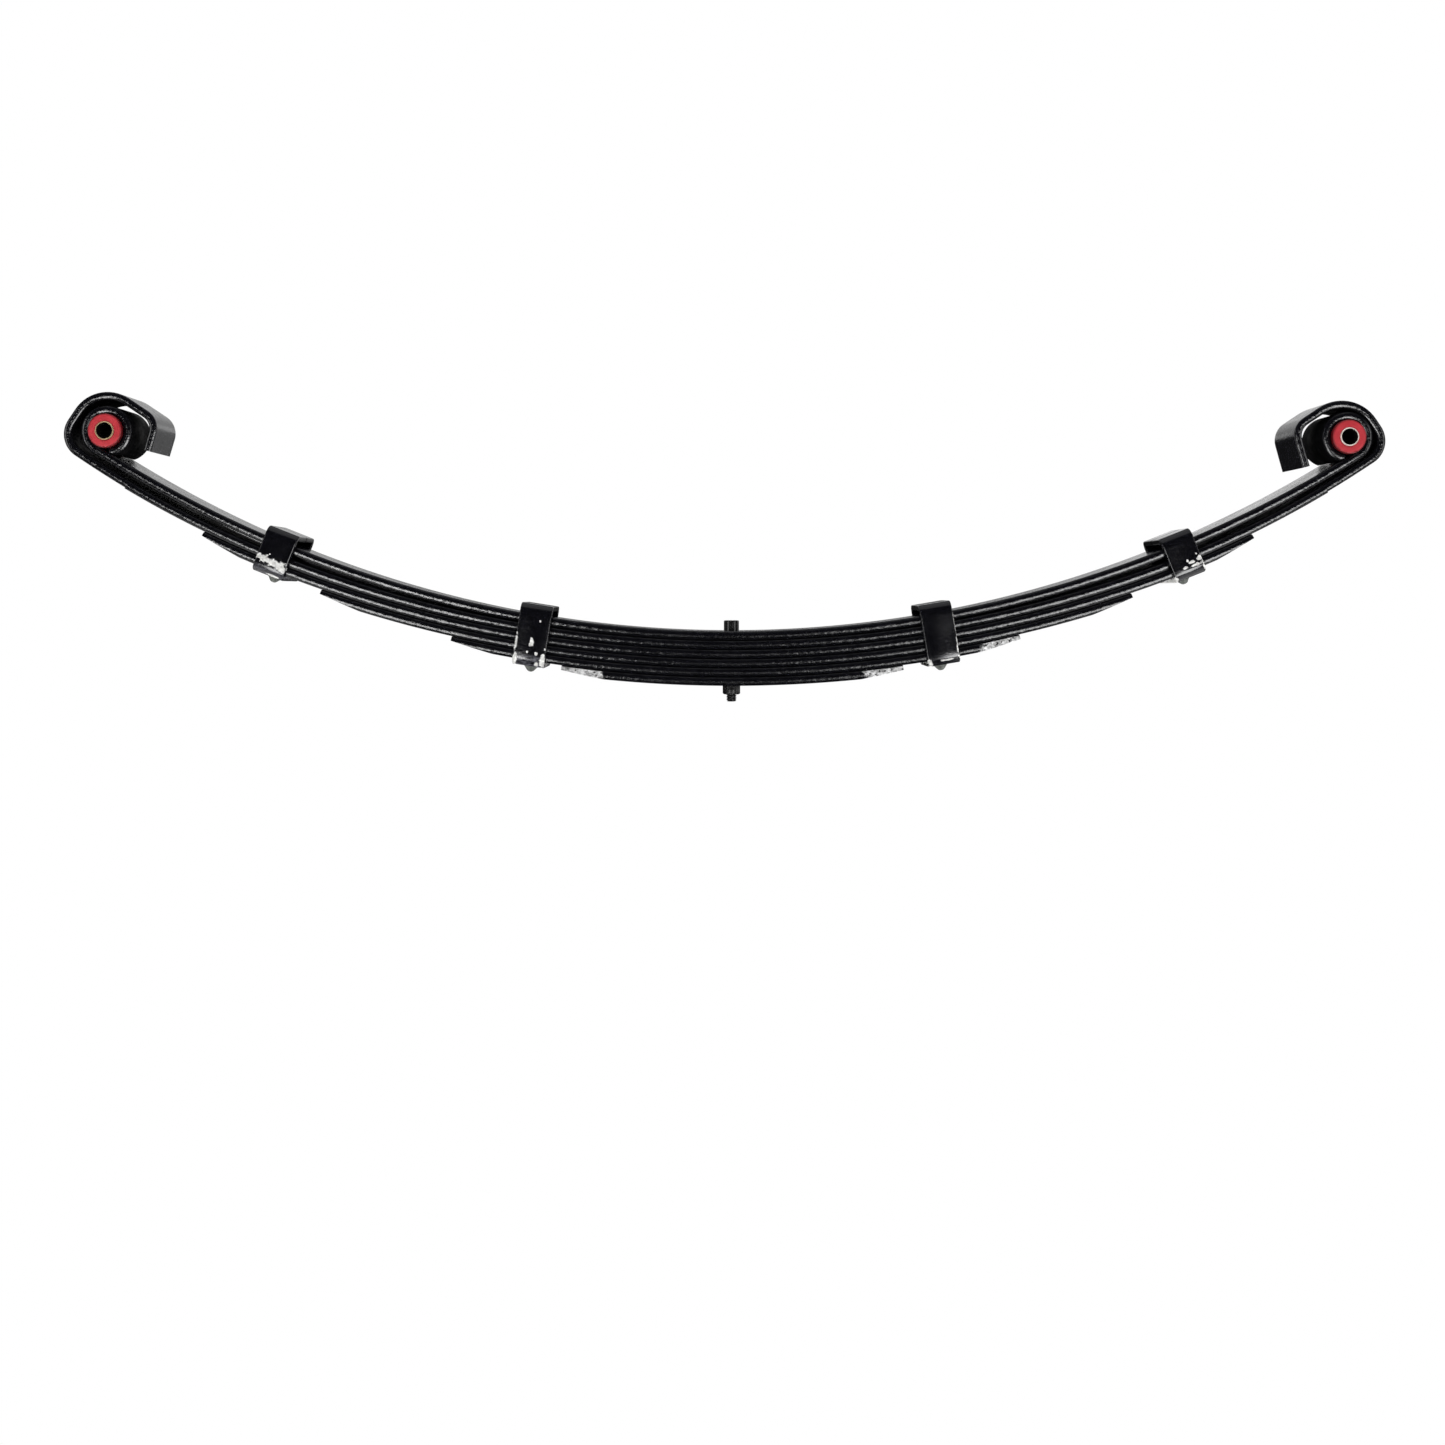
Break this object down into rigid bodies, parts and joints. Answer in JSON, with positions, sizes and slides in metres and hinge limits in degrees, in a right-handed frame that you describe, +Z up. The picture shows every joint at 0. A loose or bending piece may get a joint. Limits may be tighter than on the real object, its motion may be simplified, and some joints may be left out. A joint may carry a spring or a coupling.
{
  "type": "leaf spring",
  "caption": "Semi-elliptic leaf spring: curved steel leaves bolted at the centre, wrapped eyes with split bushes and sleeves, and riveted rebound clips.",
  "frame": {"origin": "on the centre bolt's axis, at the main leaf's upper face, where the head of the bolt starts", "axes": "+X runs along the spring from the front eye to the rear eye, +Y runs across the leaves, +Z points up along the centre bolt, out of its head and into the hollow side"},
  "size_m": [1.2272, 0.0754, 0.289],
  "materials": {
    "leaf_paint": "gloss black paint over rolled spring steel",
    "tip_paint": "gloss black paint, scuffed to bare metal at the tips",
    "clip_paint": "satin black paint, worn to bright metal at the folds",
    "rivet_paint": "thin grey-green paint",
    "bolt_steel": "dark phosphated steel",
    "bush_urethane": "red moulded polyurethane, slightly glossy",
    "sleeve_zinc": "zinc-plated steel"
  },
  "bodies": {
    "pack": {"main_leaf": "leaf_paint", "wrap_leaf": "leaf_paint", "leaf_3": "leaf_paint", "leaf_4": "leaf_paint", "leaf_5": "tip_paint", "leaf_6": "tip_paint", "centre_bolt": "bolt_steel", "centre_nut": "bolt_steel", "front_inner_clip": "clip_paint", "front_inner_rivet": "rivet_paint", "rear_inner_clip": "clip_paint", "rear_inner_rivet": "rivet_paint"},
    "front_arm": {"front_outer_clip": "clip_paint", "front_outer_rivet": "rivet_paint", "front_bush_left": "bush_urethane", "front_bush_right": "bush_urethane"},
    "rear_arm": {"rear_outer_clip": "clip_paint", "rear_outer_rivet": "rivet_paint", "rear_bush_left": "bush_urethane", "rear_bush_right": "bush_urethane"},
    "front_hanger_sleeve": {"front_sleeve": "sleeve_zinc"},
    "rear_shackle_sleeve": {"rear_sleeve": "sleeve_zinc"}
  },
  "joints": [
    {"name": "front_flex", "type": "hinge", "parent": "pack", "child": "front_arm", "pos_m": [-0.145, 0, -0.015], "axis": [0, -1, 0], "range_deg": [-3, 12], "stiffness_Nm_per_rad": 7000, "deforming": ["main_leaf", "wrap_leaf", "leaf_3", "leaf_4", "leaf_5", "leaf_6"]},
    {"name": "rear_flex", "type": "hinge", "parent": "pack", "child": "rear_arm", "pos_m": [0.145, 0, -0.015], "axis": [0, 1, 0], "range_deg": [-3, 12], "stiffness_Nm_per_rad": 7000, "deforming": ["main_leaf", "wrap_leaf", "leaf_3", "leaf_4", "leaf_5", "leaf_6"]},
    {"name": "front_sleeve_turn", "type": "hinge", "parent": "front_arm", "child": "front_hanger_sleeve", "pos_m": [-0.5806, 0, 0.18587], "axis": [0, 1, 0], "continuous": true},
    {"name": "rear_sleeve_turn", "type": "hinge", "parent": "rear_arm", "child": "rear_shackle_sleeve", "pos_m": [0.5717, 0, 0.18021], "axis": [0, 1, 0], "continuous": true}
  ]
}
